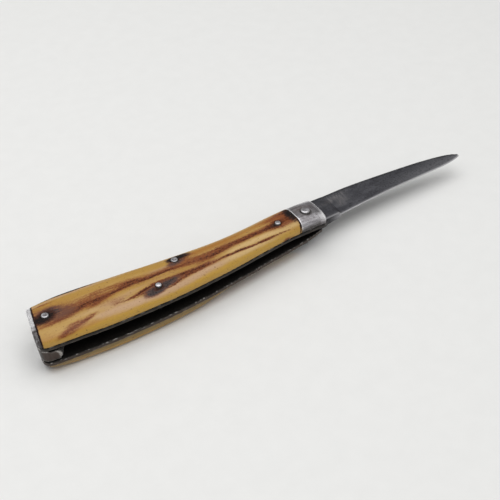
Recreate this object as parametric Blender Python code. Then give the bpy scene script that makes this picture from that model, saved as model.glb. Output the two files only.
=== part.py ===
"""Folding whittling knife: one slip-joint blade in a stag handle with iron bolsters and liners.

The knife lies on its rear scale with the blade open. +X runs to the blade's tip, +Y to the knife's
back and +Z up, out of the front scale. The origin is on the rest face, under the middle of the handle.
Every piece is modelled about the pivot: an empty stands on the pivot's axis, halfway between the scales.
"""

import math
from bisect import bisect_right

import bmesh
import bpy
from mathutils import Vector

MM = 0.001

# Handle
HANDLE_LENGTH = 98.0 * MM  # butt to bolster front, along the pivot line in the middle plane
HANDLE_THICKNESS = 13.2 * MM  # over the crowns of both scales
PIVOT_SETBACK = 5.6 * MM  # pivot to bolster front
PIVOT_OFFSET = 2.3 * MM  # pivot line to the middle of the rest face
BOLSTER_LENGTH = 9.7 * MM
BOLSTER_FALL = 1.2 * MM  # how far the bolster's crown comes down toward its front
BOLSTER_ROUND = 0.7 * MM
CAP_THICKNESS = 1.35 * MM
CAP_ROUND = 0.5 * MM
BUTT_CORNER = 3.0 * MM  # rounding of the slot edge at the butt
FRONT_CORNER = 0.8 * MM  # rounding of the slot edge at the bolster front
BUTT_SLANT = math.radians(12.8)  # the butt's back corner stands forward of its slot corner
BUTT_LEAN = math.radians(8.0)  # the rear side ends short of the front side
SLANT_RUN = 45.0 * MM  # length over which the slanted butt straightens out
EDGE_WALL = 1.3 * MM  # upright wall of a scale above its liner
SHOULDER = 3.7 * MM  # width of the rounding between a scale's wall and its flat crown
WALL_SHARE = 0.8  # most of a cover's height that its wall takes up
SHOULDER_SHARE = 0.48  # most of a cover's width that one shoulder takes up
REAR_SWEEP = 2.6 * MM  # how far the rear side's slot edge sweeps up at the bolster front
REAR_SWEEP_RUN = 16.0 * MM

# Share of the handle's length from the butt, slot edge below the pivot line, back above it,
# and wall of the rear side along the slot
HANDLE_PROFILE = (
    (0.00, 9.4 * MM, 6.2 * MM, 0.3 * MM),
    (0.10, 10.0 * MM, 7.0 * MM, 1.7 * MM),
    (0.25, 10.6 * MM, 6.1 * MM, 2.3 * MM),
    (0.45, 10.0 * MM, 4.6 * MM, 1.7 * MM),
    (0.65, 7.8 * MM, 3.8 * MM, 0.2 * MM),
    (0.85, 5.0 * MM, 5.5 * MM, 0.3 * MM),
    (1.00, 4.4 * MM, 6.4 * MM, 0.1 * MM),
)

# Slot and liners
SLOT_AT_BUTT = 4.4 * MM
SLOT_AT_FRONT = 2.2 * MM
LINER_THICKNESS = 1.2 * MM
SEAT_GAP = 0.08 * MM  # between pieces that are riveted together
RUNNING_GAP = 0.06 * MM  # round the pivot pin in the blade

# Blade
BLADE_REACH = 67.2 * MM  # pivot to tip
BLADE_THICKNESS = 2.0 * MM
TIP_THICKNESS = 0.8 * MM
EDGE_THICKNESS = 0.12 * MM
RICASSO_REACH = 12.8 * MM  # pivot to the start of the ground edge
PLUNGE_RUN = 1.6 * MM  # length of the slope from the ricasso into the grind
SHOULDER_REACH = 8.8 * MM  # pivot to where the spine reaches its full height
KICK_REACH = 6.6 * MM  # pivot to the front of the kick, which meets the spring when the knife is shut
KICK_DEPTH = 2.5 * MM  # kick below the pivot line
KICK_RUN = 1.4 * MM  # length of the slope from the kick up to the ricasso
RICASSO_DEPTH = 1.8 * MM  # ricasso below the pivot line, next to the kick
HEEL_DEPTH = 1.1 * MM  # end of the ricasso below the pivot line
TANG_SEAT = 2.6 * MM  # pivot to the flats that the spring rests on, open and closed
CAM_LIFT = 0.7 * MM  # how far the round end of the tang lifts the spring
STOP_REACH = 2.4 * MM  # pivot to the face that stops the blade against the spring's end

# Share of the blade's reach from the pivot, edge above the pivot line, spine above it
BLADE_PROFILE = (
    (0.20, -0.9 * MM, 9.0 * MM),
    (0.35, 0.1 * MM, 9.3 * MM),
    (0.55, 1.2 * MM, 8.8 * MM),
    (0.75, 1.8 * MM, 8.0 * MM),
    (0.88, 2.2 * MM, 7.0 * MM),
    (0.96, 3.0 * MM, 5.9 * MM),
    (1.00, 3.9 * MM, 4.7 * MM),
)

# Back spring
SPRING_DEPTH_AT_BUTT = 6.6 * MM
SPRING_DEPTH_AT_NOSE = 3.7 * MM
SPRING_NOSE_RUN = 9.0 * MM  # straight seat behind the pivot that lies along the tang
FOOT_REACH = 6.0 * MM  # how far the spring's foot fills the slot's mouth where it is longest
FOOT_ROUND = 4.0 * MM  # how far its round end falls back at the front liner
FOOT_BIAS = 0.3  # share of half the slot by which its longest place is off the middle, toward the rear
FOOT_RAMP = 4.0 * MM

# Pins: radius, place behind the pivot and height above the pivot line
PIVOT_PIN_RADIUS = 1.45 * MM
PIVOT_PIN_PROUD = 0.8 * MM
PIN_RADIUS = 1.1 * MM
RIVET_RADIUS = 0.95 * MM
PIN_DOME = 0.55 * MM
PIN_PROUD = 0.55 * MM
REAR_PROUD = 0.1 * MM  # the rear heads are worn nearly flush
REST_MARGIN = 0.05 * MM  # pin ends stay this far inside the rest face
BUTT_PIN_INSET = 3.9 * MM  # from the butt
BUTT_PIN_HEIGHT = -0.3 * MM
MID_RIVET_BACK = 55.6 * MM
MID_RIVET_HEIGHT = -6.1 * MM
SPRING_PIN_BACK = 46.2 * MM
SPRING_PIN_HEIGHT = 1.3 * MM
FORE_RIVET_BACK = 10.7 * MM
FORE_RIVET_HEIGHT = -0.6 * MM

# Facets
HANDLE_STEP = 3.6 * MM
CLOSEST_STATIONS = 0.02 * MM
WELD_DISTANCE = 0.001 * MM
ARC_STEPS = 5
FOOT_STEPS = 5
BLADE_STEPS = 30
PIN_SIDES = 24
DOME_STEPS = 4
SHARP_ANGLE = math.radians(32)
ROUND_ANGLES = [math.radians(angle) for angle in (0, 25, 45, 65, 90)]

# Places that follow from the sizes above, measured along X from the pivot
FRONT = PIVOT_SETBACK
BUTT = FRONT - HANDLE_LENGTH
JUNCTION = FRONT - BOLSTER_LENGTH
CAP_FACE = BUTT + CAP_THICKNESS
CROWN = HANDLE_THICKNESS / 2
FRONT_SIDE = 1
REAR_SIDE = -1
FOOT_PLACES = [1 - 2 * i / FOOT_STEPS for i in range(FOOT_STEPS + 1)]


# Curves and outlines


def curve_through(points):
    """Return y(x), a smooth curve through the (x, y) points with slopes taken from their neighbours."""
    xs = [x for x, _ in points]
    ys = [y for _, y in points]
    last = len(points) - 1
    slopes = []
    for i in range(len(points)):
        before = max(i - 1, 0)
        after = min(i + 1, last)
        slopes.append((ys[after] - ys[before]) / (xs[after] - xs[before]))

    def value(x):
        i = min(max(bisect_right(xs, x) - 1, 0), last - 1)
        span = xs[i + 1] - xs[i]
        t = min(max((x - xs[i]) / span, 0.0), 1.0)
        blend = t * t * (3 - 2 * t)
        lead = t * (1 - t) ** 2 * span * slopes[i]
        trail = t * t * (t - 1) * span * slopes[i + 1]
        return ys[i] + blend * (ys[i + 1] - ys[i]) + lead + trail

    return value


def spaced(start, end, steps):
    """Evenly spaced values from start to end, both included."""
    return [start + (end - start) * i / steps for i in range(steps + 1)]


profile_stations = [(BUTT + share * HANDLE_LENGTH, *sizes) for share, *sizes in HANDLE_PROFILE]
slot_curve = curve_through([(x, -depth) for x, depth, _, _ in profile_stations])
back_edge = curve_through([(x, back) for x, _, back, _ in profile_stations])
rear_wall = curve_through([(x, wall) for x, _, _, wall in profile_stations])
blade_edge = curve_through([(share * BLADE_REACH, edge) for share, edge, _ in BLADE_PROFILE])
blade_spine = curve_through([(share * BLADE_REACH, spine) for share, _, spine in BLADE_PROFILE])


def corner_inset(distance, radius):
    """How far a round corner draws an outline in, at a distance from its end."""
    if distance >= radius:
        return 0.0
    return radius - math.sqrt(radius**2 - (radius - distance) ** 2)


def slot_edge(x, side):
    """Slot edge of one side of the handle: corners rounded, and swept up at the front of the rear side."""
    edge = slot_curve(x) + corner_inset(x - BUTT, BUTT_CORNER) + corner_inset(FRONT - x, FRONT_CORNER)
    if side == REAR_SIDE:
        edge += REAR_SWEEP * max(1 - (FRONT - x) / REAR_SWEEP_RUN, 0.0) ** 2
    return edge


def half_slot(x):
    """Half the slot's width: it narrows steadily from the butt to the bolsters."""
    share = (x - BUTT) / HANDLE_LENGTH
    return (SLOT_AT_BUTT + (SLOT_AT_FRONT - SLOT_AT_BUTT) * share) / 2


def liner_face(x):
    """Height of a liner's outer face above the middle plane."""
    return half_slot(x) + LINER_THICKNESS


def crown_height(x):
    """Height of the crown above the middle plane: flat along the scale, falling over the bolster."""
    share = max(x - JUNCTION, 0.0) / BOLSTER_LENGTH
    return CROWN - BOLSTER_FALL * share**2


def on_station(x, y, z):
    """A point of the cross-section at x. Sections near the butt slant and lean like the butt itself."""
    fade = max(1 - (x - BUTT) / SLANT_RUN, 0.0)
    shift = math.tan(BUTT_SLANT) * y - math.tan(BUTT_LEAN) * z
    return Vector((x + fade * shift, y, z))


def shoulder(wall, crown, width, flatness):
    """Quarter outline from a wall's top in to the crown: an ellipse at flatness 0, a bevel at 1."""
    points = []
    for i in range(ARC_STEPS + 1):
        angle = math.pi / 2 * i / ARC_STEPS
        inward = 1 - math.cos(angle) ** (1 + flatness)
        upward = math.sin(angle) ** (1 + flatness)
        points.append((width * inward, wall + (crown - wall) * upward))
    return points


def cover_section(x, side):
    """Outline of a scale, bolster or cap at x: flat inside, upright walls, round shoulders, flat crown.

    Where the rear side's wall is low, the shoulder over it is worn out to a bevel.
    """
    inset = corner_inset(x - BUTT, CAP_ROUND) + corner_inset(FRONT - x, BOLSTER_ROUND)
    base = liner_face(x) + SEAT_GAP
    low = slot_edge(x, side) + inset
    high = back_edge(x) - inset
    crown = crown_height(x) - inset
    tallest = (crown - base) * WALL_SHARE
    width = min(SHOULDER, (high - low) * SHOULDER_SHARE)
    back_wall = min(EDGE_WALL, tallest)
    slot_wall = min(rear_wall(x), tallest) if side == REAR_SIDE else back_wall
    worn = max(1 - slot_wall / back_wall, 0.0)
    slot_shoulder = shoulder(base + slot_wall, crown, width, worn)
    back_shoulder = shoulder(base + back_wall, crown, width, 0.0)
    outline = [(low, base)]
    outline += [(low + inward, z) for inward, z in slot_shoulder]
    outline += [(high - inward, z) for inward, z in reversed(back_shoulder)]
    outline.append((high, base))
    return outline


def cover_height(x, y, side):
    """Height of the outer surface of a scale or bolster over the point (x, y)."""
    outline = cover_section(x, side)
    for (y0, z0), (y1, z1) in zip(outline[1:], outline[2:-1]):
        if y0 <= y <= y1 and y1 > y0:
            return z0 + (z1 - z0) * (y - y0) / (y1 - y0)
    return liner_face(x)


# Building meshes


def add_object(name, bm, material):
    """Turn a bmesh into a shaded object under the pivot's empty."""
    bmesh.ops.recalc_face_normals(bm, faces=bm.faces)
    mesh = bpy.data.meshes.new(name)
    bm.to_mesh(mesh)
    bm.free()
    mesh.shade_smooth()
    mesh.set_sharp_from_angle(angle=SHARP_ANGLE)
    obj = bpy.data.objects.new(name, mesh)
    obj.parent = pivot_axis
    bpy.context.scene.collection.objects.link(obj)
    if material:
        mesh.materials.append(material)
    else:
        obj.hide_render = True
        obj.display_type = "WIRE"
    return obj


def loft(name, sections, material):
    """Skin a closed solid over a row of sections that have as many points each."""
    bm = bmesh.new()
    rings = [[bm.verts.new(point) for point in section] for section in sections]
    for ring, following in zip(rings, rings[1:]):
        for i in range(len(ring)):
            bm.faces.new((ring[i - 1], ring[i], following[i], following[i - 1]))
    bm.faces.new(rings[0])
    bm.faces.new(rings[-1])
    return add_object(name, bm, material)


def plate(name, outline, thickness, material):
    """Extrude a flat outline to a plate that is centred on the middle plane."""
    bm = bmesh.new()
    face = bm.faces.new([bm.verts.new((x, y, -thickness / 2)) for x, y in outline])
    raised = bmesh.ops.extrude_face_region(bm, geom=[face])["geom"]
    verts = [item for item in raised if isinstance(item, bmesh.types.BMVert)]
    bmesh.ops.translate(bm, verts=verts, vec=(0, 0, thickness))
    return add_object(name, bm, material)


def turned(name, profile, place, material):
    """Turn a (radius, height) profile that starts and ends on its axis, and stand it at place."""
    bm = bmesh.new()
    verts = [bm.verts.new((radius, 0, height)) for radius, height in profile]
    edges = [bm.edges.new(pair) for pair in zip(verts, verts[1:])]
    bmesh.ops.spin(
        bm, geom=verts + edges, cent=(0, 0, 0), axis=(0, 0, 1), angle=math.tau, steps=PIN_SIDES
    )
    bmesh.ops.remove_doubles(bm, verts=bm.verts, dist=WELD_DISTANCE)
    obj = add_object(name, bm, material)
    obj.location = (*place, 0)
    return obj


def cut(obj, *cutters):
    """Cut each cutter out of an object."""
    for cutter in cutters:
        modifier = obj.modifiers.new(cutter.name, "BOOLEAN")
        modifier.operation = "DIFFERENCE"
        modifier.solver = "EXACT"
        modifier.object = cutter


def mirrored(sections):
    """The same sections on the other side of the middle plane."""
    return [[Vector((x, y, -z)) for x, y, z in section] for section in sections]


# Materials


def make_material(name, colour, roughness, metallic):
    material = bpy.data.materials.new(name)
    material.use_nodes = True
    shader = material.node_tree.nodes["Principled BSDF"]
    shader.inputs["Base Color"].default_value = (*colour, 1)
    shader.inputs["Roughness"].default_value = roughness
    shader.inputs["Metallic"].default_value = metallic
    return material


# Handle


def stations_between(start, end, extra=()):
    """Stations along the handle: evenly spaced, and closer where the ends and corners are rounded."""
    stations = {*spaced(start, end, max(round((end - start) / HANDLE_STEP), 1)), *extra}
    for radius in (BUTT_CORNER, CAP_ROUND):
        stations.update(BUTT + radius * (1 - math.cos(angle)) for angle in ROUND_ANGLES)
    for radius in (FRONT_CORNER, BOLSTER_ROUND):
        stations.update(FRONT - radius * (1 - math.cos(angle)) for angle in ROUND_ANGLES)
    kept = []
    for x in sorted(stations):
        if start <= x <= end and (not kept or x - kept[-1] > CLOSEST_STATIONS):
            kept.append(x)
    kept[-1] = end
    return kept


def add_sides(name, start, end, section, material, holes=()):
    """Loft a piece on each side of the handle from its (y, height) sections, and drill both."""
    stations = stations_between(start, end)
    for prefix, side in (("front", FRONT_SIDE), ("rear", REAR_SIDE)):
        sections = [[on_station(x, y, side * z) for y, z in section(x, side)] for x in stations]
        cut(loft(f"{prefix}_{name}", sections, material), *holes)


def liner_section(x, side):
    low, high = slot_edge(x, side), back_edge(x)
    inner, outer = half_slot(x), liner_face(x)
    return [(low, inner), (low, outer), (high, outer), (high, inner)]


# Back spring


def spring_underside(x):
    """Inner edge of the spring's arm, which comes down to a straight seat along the tang."""
    share = min(max((x - BUTT) / (HANDLE_LENGTH - PIVOT_SETBACK - SPRING_NOSE_RUN), 0.0), 1.0)
    depth = SPRING_DEPTH_AT_BUTT + (SPRING_DEPTH_AT_NOSE - SPRING_DEPTH_AT_BUTT) * share
    seat = TANG_SEAT + SEAT_GAP
    blend = min(max((x + 2 * SPRING_NOSE_RUN) / SPRING_NOSE_RUN, 0.0), 1.0)
    return (back_edge(x) - depth) * (1 - blend) + seat * blend


def foot_reach(place):
    """Reach of the spring's foot at a place across the slot: -1 at the rear liner, 1 at the front one."""
    across = (place + FOOT_BIAS) / (1 + FOOT_BIAS)
    return FOOT_REACH - FOOT_ROUND * (1 - math.sqrt(1 - across**2))


def foot_underside(x, place):
    """Inner edge of the spring with its foot, which fills the slot's mouth and then ramps up."""
    share = min(max((x - BUTT - foot_reach(place)) / FOOT_RAMP, 0.0), 1.0)
    return slot_edge(x, FRONT_SIDE) * (1 - share) + spring_underside(x) * share


def spring_section(x):
    half = half_slot(x) - SEAT_GAP
    high = back_edge(x)
    outline = [(foot_underside(x, place), place * half) for place in FOOT_PLACES]
    outline += [(high, -half), (high, half)]
    return [on_station(x, y, z) for y, z in outline]


def add_back_spring(material, holes):
    feet = [BUTT + foot_reach(place) for place in FOOT_PLACES]
    ramps = [x + FOOT_RAMP for x in feet]
    stations = stations_between(BUTT, STOP_REACH - SEAT_GAP, feet + ramps)
    cut(loft("back_spring", [spring_section(x) for x in stations], material), *holes)


# Blade


def tang_outline():
    """Tang from the spring's notch round its cam end to the kick and the heel of the edge."""
    nose = TANG_SEAT + CAM_LIFT
    turn = math.asin(TANG_SEAT / nose)
    outline = [(STOP_REACH, back_edge(STOP_REACH)), (STOP_REACH, TANG_SEAT)]
    for angle in spaced(math.pi - turn, math.pi + turn, 2 * ARC_STEPS):
        outline.append((nose * math.cos(angle), nose * math.sin(angle)))
    kick_start = KICK_REACH / 2
    outline += [(kick_start, -TANG_SEAT), (KICK_REACH, -KICK_DEPTH)]
    outline += [(KICK_REACH + KICK_RUN, -RICASSO_DEPTH), (RICASSO_REACH, -HEEL_DEPTH)]
    return outline


def shoulder_outline():
    """Top of the ricasso, from the spine's full height down to the handle's back at the bolster."""
    bottom = back_edge(FRONT)
    top = blade_spine(SHOULDER_REACH)
    outline = []
    for x in spaced(SHOULDER_REACH, FRONT, ARC_STEPS):
        share = (x - FRONT) / (SHOULDER_REACH - FRONT)
        outline.append((x, bottom + (top - bottom) * math.sin(share * math.pi / 2)))
    return outline


def blade_outline():
    ground = spaced(RICASSO_REACH + PLUNGE_RUN / 2, BLADE_REACH, BLADE_STEPS)
    edge = [(x, blade_edge(x)) for x in ground]
    spine = [(x, blade_spine(x)) for x in reversed(ground)]
    return tang_outline() + edge + spine + shoulder_outline()


def grind_section(x, depth):
    """Section of the front grinding cut at x: depth 0 misses the blade and 1 reaches the full bevel."""
    share = (x - RICASSO_REACH) / (BLADE_REACH - RICASSO_REACH)
    spine_half = (BLADE_THICKNESS + (TIP_THICKNESS - BLADE_THICKNESS) * share) / 2
    high, low = blade_spine(x), blade_edge(x)
    slope = (spine_half - EDGE_THICKNESS / 2) / (high - low + BLADE_THICKNESS)
    outside = 2 * BLADE_THICKNESS
    near = BLADE_THICKNESS / 2 + SEAT_GAP
    overhang = BLADE_THICKNESS
    top = near + (spine_half + slope * overhang - near) * depth
    bottom = near + (EDGE_THICKNESS / 2 - slope * overhang - near) * depth
    return [
        Vector((x, high + overhang, top)),
        Vector((x, low - overhang, bottom)),
        Vector((x, low - overhang, outside)),
        Vector((x, high + overhang, outside)),
    ]


def grinding_cutters():
    """The two cuts that thin the blade from its spine to its edge, one on each side."""
    sections = [grind_section(RICASSO_REACH, 0.0)]
    for x in spaced(RICASSO_REACH + PLUNGE_RUN, BLADE_REACH + BLADE_THICKNESS, BLADE_STEPS):
        sections.append(grind_section(x, 1.0))
    return loft("front_grind", sections, None), loft("rear_grind", mirrored(sections), None)


def add_blade(material, hole):
    blade = plate("blade", blade_outline(), BLADE_THICKNESS, material)
    cut(blade, hole, *grinding_cutters())


# Pins


def hole_cutter(name, place, radius):
    """A cylinder through the whole handle that drills a pin's hole."""
    half = HANDLE_THICKNESS
    return turned(name, [(0, half), (radius, half), (radius, -half), (0, -half)], place, None)


def domed_end(radius, apex):
    """Profile of a pin's end with its apex at a height, from the axis out."""
    sign = 1 if apex > 0 else -1
    profile = []
    for i in range(DOME_STEPS + 1):
        angle = math.pi / 2 * i / DOME_STEPS
        profile.append((radius * math.sin(angle), apex - sign * PIN_DOME * (1 - math.cos(angle))))
    return profile


def head_apexes(place, proud):
    """Heights of a pin's two ends: proud of the front cover, and inside the rest face at the rear."""
    front = cover_height(*place, FRONT_SIDE) + proud
    rear = cover_height(*place, REAR_SIDE) + REAR_PROUD
    return front, -min(rear, CROWN - REST_MARGIN)


def add_through_pin(name, place, radius, proud, material):
    top, bottom = head_apexes(place, proud)
    profile = domed_end(radius, top) + domed_end(radius, bottom)[::-1]
    turned(name, profile, place, material)


def add_rivets(name, place, material):
    """A short rivet through each scale and its liner, which leaves the slot free for the blade."""
    inside = half_slot(place[0]) + SEAT_GAP
    top, bottom = head_apexes(place, PIN_PROUD)
    for prefix, apex, end in (("front", top, inside), ("rear", bottom, -inside)):
        profile = domed_end(RIVET_RADIUS, apex) + [(RIVET_RADIUS, end), (0, end)]
        turned(f"{prefix}_{name}", profile, place, material)


for old in list(bpy.data.objects):
    bpy.data.objects.remove(old, do_unlink=True)

pivot_axis = bpy.data.objects.new("pivot_axis", None)
pivot_axis.location = (HANDLE_LENGTH / 2 - PIVOT_SETBACK, PIVOT_OFFSET, CROWN)
bpy.context.scene.collection.objects.link(pivot_axis)

stag = make_material("stag", (0.55, 0.30, 0.09), 0.4, 0.0)
iron = make_material("worn_iron", (0.30, 0.29, 0.28), 0.42, 1.0)
dark_iron = make_material("dark_iron", (0.12, 0.11, 0.10), 0.55, 1.0)
blade_steel = make_material("blade_steel", (0.13, 0.14, 0.15), 0.38, 1.0)
pin_steel = make_material("pin_steel", (0.55, 0.53, 0.50), 0.3, 1.0)

pivot_place = (0.0, 0.0)
butt_place = (BUTT + BUTT_PIN_INSET, BUTT_PIN_HEIGHT)
spring_place = (-SPRING_PIN_BACK, SPRING_PIN_HEIGHT)
mid_place = (-MID_RIVET_BACK, MID_RIVET_HEIGHT)
fore_place = (-FORE_RIVET_BACK, FORE_RIVET_HEIGHT)

pivot_hole = hole_cutter("pivot_hole", pivot_place, PIVOT_PIN_RADIUS + RUNNING_GAP)
butt_hole = hole_cutter("butt_hole", butt_place, PIN_RADIUS + SEAT_GAP)
spring_hole = hole_cutter("spring_hole", spring_place, PIN_RADIUS + SEAT_GAP)
mid_hole = hole_cutter("mid_hole", mid_place, RIVET_RADIUS + SEAT_GAP)
fore_hole = hole_cutter("fore_hole", fore_place, RIVET_RADIUS + SEAT_GAP)
scale_holes = butt_hole, spring_hole, mid_hole, fore_hole

add_blade(blade_steel, pivot_hole)
add_back_spring(dark_iron, (butt_hole, spring_hole))
add_sides("liner", BUTT, FRONT, liner_section, dark_iron, (pivot_hole, *scale_holes))
add_sides("scale", CAP_FACE + SEAT_GAP, JUNCTION - SEAT_GAP, cover_section, stag, scale_holes)
add_sides("bolster", JUNCTION, FRONT, cover_section, iron, (pivot_hole,))
add_sides("butt_cap", BUTT, CAP_FACE, cover_section, iron)
add_through_pin("pivot_pin", pivot_place, PIVOT_PIN_RADIUS, PIVOT_PIN_PROUD, pin_steel)
add_through_pin("spring_pin", spring_place, PIN_RADIUS, PIN_PROUD, pin_steel)
add_through_pin("butt_pin", butt_place, PIN_RADIUS, PIN_PROUD, pin_steel)
add_rivets("mid_rivet", mid_place, pin_steel)
add_rivets("fore_rivet", fore_place, pin_steel)
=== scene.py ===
import math

import bmesh
import bpy
import numpy as np
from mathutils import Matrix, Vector, noise


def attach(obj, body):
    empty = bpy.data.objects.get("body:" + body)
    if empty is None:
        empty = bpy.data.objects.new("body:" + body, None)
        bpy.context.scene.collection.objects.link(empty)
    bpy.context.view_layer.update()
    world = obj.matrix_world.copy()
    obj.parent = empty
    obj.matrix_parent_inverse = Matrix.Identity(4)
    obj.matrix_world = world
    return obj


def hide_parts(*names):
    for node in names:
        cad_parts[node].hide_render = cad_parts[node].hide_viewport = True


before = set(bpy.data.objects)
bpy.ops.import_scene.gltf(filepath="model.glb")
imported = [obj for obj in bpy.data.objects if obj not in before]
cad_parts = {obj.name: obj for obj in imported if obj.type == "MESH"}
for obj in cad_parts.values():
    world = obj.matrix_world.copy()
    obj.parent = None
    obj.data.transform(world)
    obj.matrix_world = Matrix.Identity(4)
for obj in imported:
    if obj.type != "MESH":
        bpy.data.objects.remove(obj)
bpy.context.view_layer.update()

# Lengths are millimetres of the frame: X runs to the tip, Y to the knife's back, Z up
MM = 0.001
WELD_DISTANCE = 0.001

# The handle: the height of its middle, the butt with its slant and lean in degrees, half the slot's width
# at both ends, the liners, and the band of distance from the butt's face in which bare metal fades in
MIDDLE = 6.6
HANDLE_LENGTH = 98.0
BUTT = -49.0
BUTT_SLANT = 12.8
BUTT_LEAN = 8.0
HALF_SLOT_AT_BUTT = 2.2
HALF_SLOT_AT_FRONT = 1.1
LINER_THICKNESS = 1.2
BARE_BUTT = (0.9, 0.4)

# The pins' heads on the front face
BUTT_PIN = (-45.1, 2.0)
MID_RIVET = (-12.2, -3.8)
SPRING_PIN = (-2.8, 3.6)
FORE_RIVET = (32.7, 1.7)
PIVOT = (43.4, 2.3)

# Camera
LENS = 79.2
CAMERA_PLACE = (-118.22, -218.04, 222.05)
CAMERA_AZIMUTH = -32.65
CAMERA_ELEVATION = 39.5

# Floor and light, in metres and watts. The sky fades from dim to bright toward its bright side.
FLOOR_REACH = 2.0
LAMP_PLACE = (-0.1, 0.04, 0.62)
LAMP_SIZE = 0.9
LAMP_POWER = 3.5
SKY_COLOUR = (1.0, 1.0, 0.985, 1)
SKY_BRIGHT_SIDE = (0.35, -0.35, 0.87)
SKY_FADE = {"From Min": 0.5, "From Max": 1.0, "To Min": 0.32, "To Max": 0.9}

# Marks of the front scale, where height unrolls the scale's shoulders. A run is a row of points
# (x, height, half width, strength). A patch is (strength, centre, half sizes, tilt in degrees).
AMBER = (
    ((0, 3.4, 0.8, 0.0), (4, 3.2, 1.2, 0.8), (14, 3.2, 1.3, 0.8), (24, 4.0, 1.0, 0.6), (32, 4.8, 1.6, 0.9),
     (39, 4.6, 2.4, 1.0)),
    ((-50, 5.6, 1.6, 0.35), (-44, 5.2, 1.2, 0.3), (-37, 4.8, 0.9, 0.2), (-30, 4.4, 0.6, 0.0)),
    ((-50, -7.4, 1.6, 0.5), (-45, -8.4, 1.5, 0.65), (-40, -8.8, 1.5, 0.8), (-34, -8.6, 1.4, 0.7),
     (-28, -9.2, 1.2, 0.4), (-20, -9.8, 1.3, 0.45), (-12, -9.8, 1.2, 0.45), (-4, -9.2, 1.0, 0.0)),
    ((29, -4.8, 1.0, 0.0), (34, -4.4, 1.4, 0.3), (38, -4.0, 1.2, 0.5)),
)
GOLD = (
    ((-50, -9.0, 1.4, 0.6), (-40, -9.8, 1.4, 0.8), (-20, -10.0, 1.6, 1.0), (6, -8.6, 1.7, 1.0),
     (22, -6.9, 1.7, 1.0), (32, -5.6, 1.6, 0.9), (39, -4.6, 1.4, 0.6)),
)
BROWN = (
    ((-49, 1.4, 2.6, 0.9), (-43, 1.2, 2.4, 0.9), (-37, 0.9, 2.0, 0.85), (-31, 0.6, 1.6, 0.8),
     (-26, 0.6, 1.1, 0.65), (-22, 1.0, 1.1, 0.9), (-18, 1.3, 1.2, 0.95), (-14, 1.0, 1.0, 0.8),
     (-8, 0.8, 0.9, 0.75), (-2, 0.5, 1.1, 0.85), (3, 0.0, 1.3, 0.95), (9, -0.1, 1.3, 0.9),
     (15, 0.6, 1.1, 0.85), (22, 0.9, 0.9, 0.85), (28, 1.2, 1.2, 0.9), (33, 1.6, 1.6, 1.0),
     (39, 2.8, 2.2, 1.0)),
    ((-36, 2.8, 0.7, 0.0), (-30, 2.8, 0.8, 0.55), (-24, 2.8, 0.7, 0.55), (-19, 2.6, 0.6, 0.4),
     (-15, 2.4, 0.5, 0.0)),
    ((-29, -4.4, 1.0, 0.0), (-26, -4.2, 1.2, 0.3), (-22.5, -3.6, 1.0, 0.25), (-19, -4.0, 0.6, 0.3)),
    ((-48, -2.0, 0.7, 0.4), (-43, -1.9, 0.8, 0.8), (-39, -1.4, 0.8, 0.85), (-35, -0.7, 0.7, 0.8),
     (-31, -0.9, 0.7, 0.8), (-27, -0.6, 0.5, 0.5), (-24, 0.0, 0.4, 0.0)),
    ((28, 0.6, 0.8, 0.2), (33, 0.3, 1.0, 0.9), (36, 0.6, 1.0, 0.8), (39, 1.4, 1.0, 0.6)),
    ((-48, 6.4, 0.25, 0.0), (-44, 6.3, 0.35, 0.9), (-39.5, 6.0, 0.25, 0.0)),
    ((-47, -8.9, 0.6, 0.0), (-44, -8.2, 0.9, 0.8), (-41, -7.2, 1.2, 1.0), (-38, -6.4, 0.9, 0.9),
     (-34, -5.2, 0.6, 0.8), (-31, -4.6, 0.4, 0.0)),
    ((-43, -6.0, 0.4, 0.0), (-40, -5.4, 0.5, 0.6), (-35.5, -4.6, 0.3, 0.0)),
    ((-21, -4.3, 0.5, 0.0), (-17, -4.2, 0.8, 0.6), (-8, -4.2, 1.4, 0.6), (-3, -4.0, 1.0, 0.95),
     (3, -3.7, 0.8, 0.9), (8, -3.4, 0.6, 0.6), (12, -3.3, 0.5, 0.4), (30, -3.2, 0.45, 0.35),
     (34, -3.1, 0.3, 0.0)),
    ((-21, -1.2, 0.7, 0.0), (-14, -1.2, 0.8, 0.25), (-5, -1.3, 0.7, 0.2), (1, -1.8, 0.8, 0.2),
     (5, -1.7, 0.9, 0.5), (9, -1.6, 0.5, 0.0)),
    ((26, 4.4, 0.7, 0.0), (32, 4.4, 1.2, 0.75), (38, 5.0, 1.8, 0.95)),
    ((30.5, -7.0, 0.3, 0.0), (33, -6.7, 0.6, 0.8), (36, -6.4, 0.3, 0.3)),
    ((-3, 2.0, 0.8, 0.5), (0, 2.6, 1.1, 0.8), (2.5, 3.4, 0.9, 0.5), (4.5, 4.2, 0.7, 0.0)),
    ((-36, -2.2, 0.8, 0.0), (-30, -2.4, 1.2, 0.3), (-26, -2.6, 1.2, 0.3), (-22, -2.4, 0.8, 0.0)),
)
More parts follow.
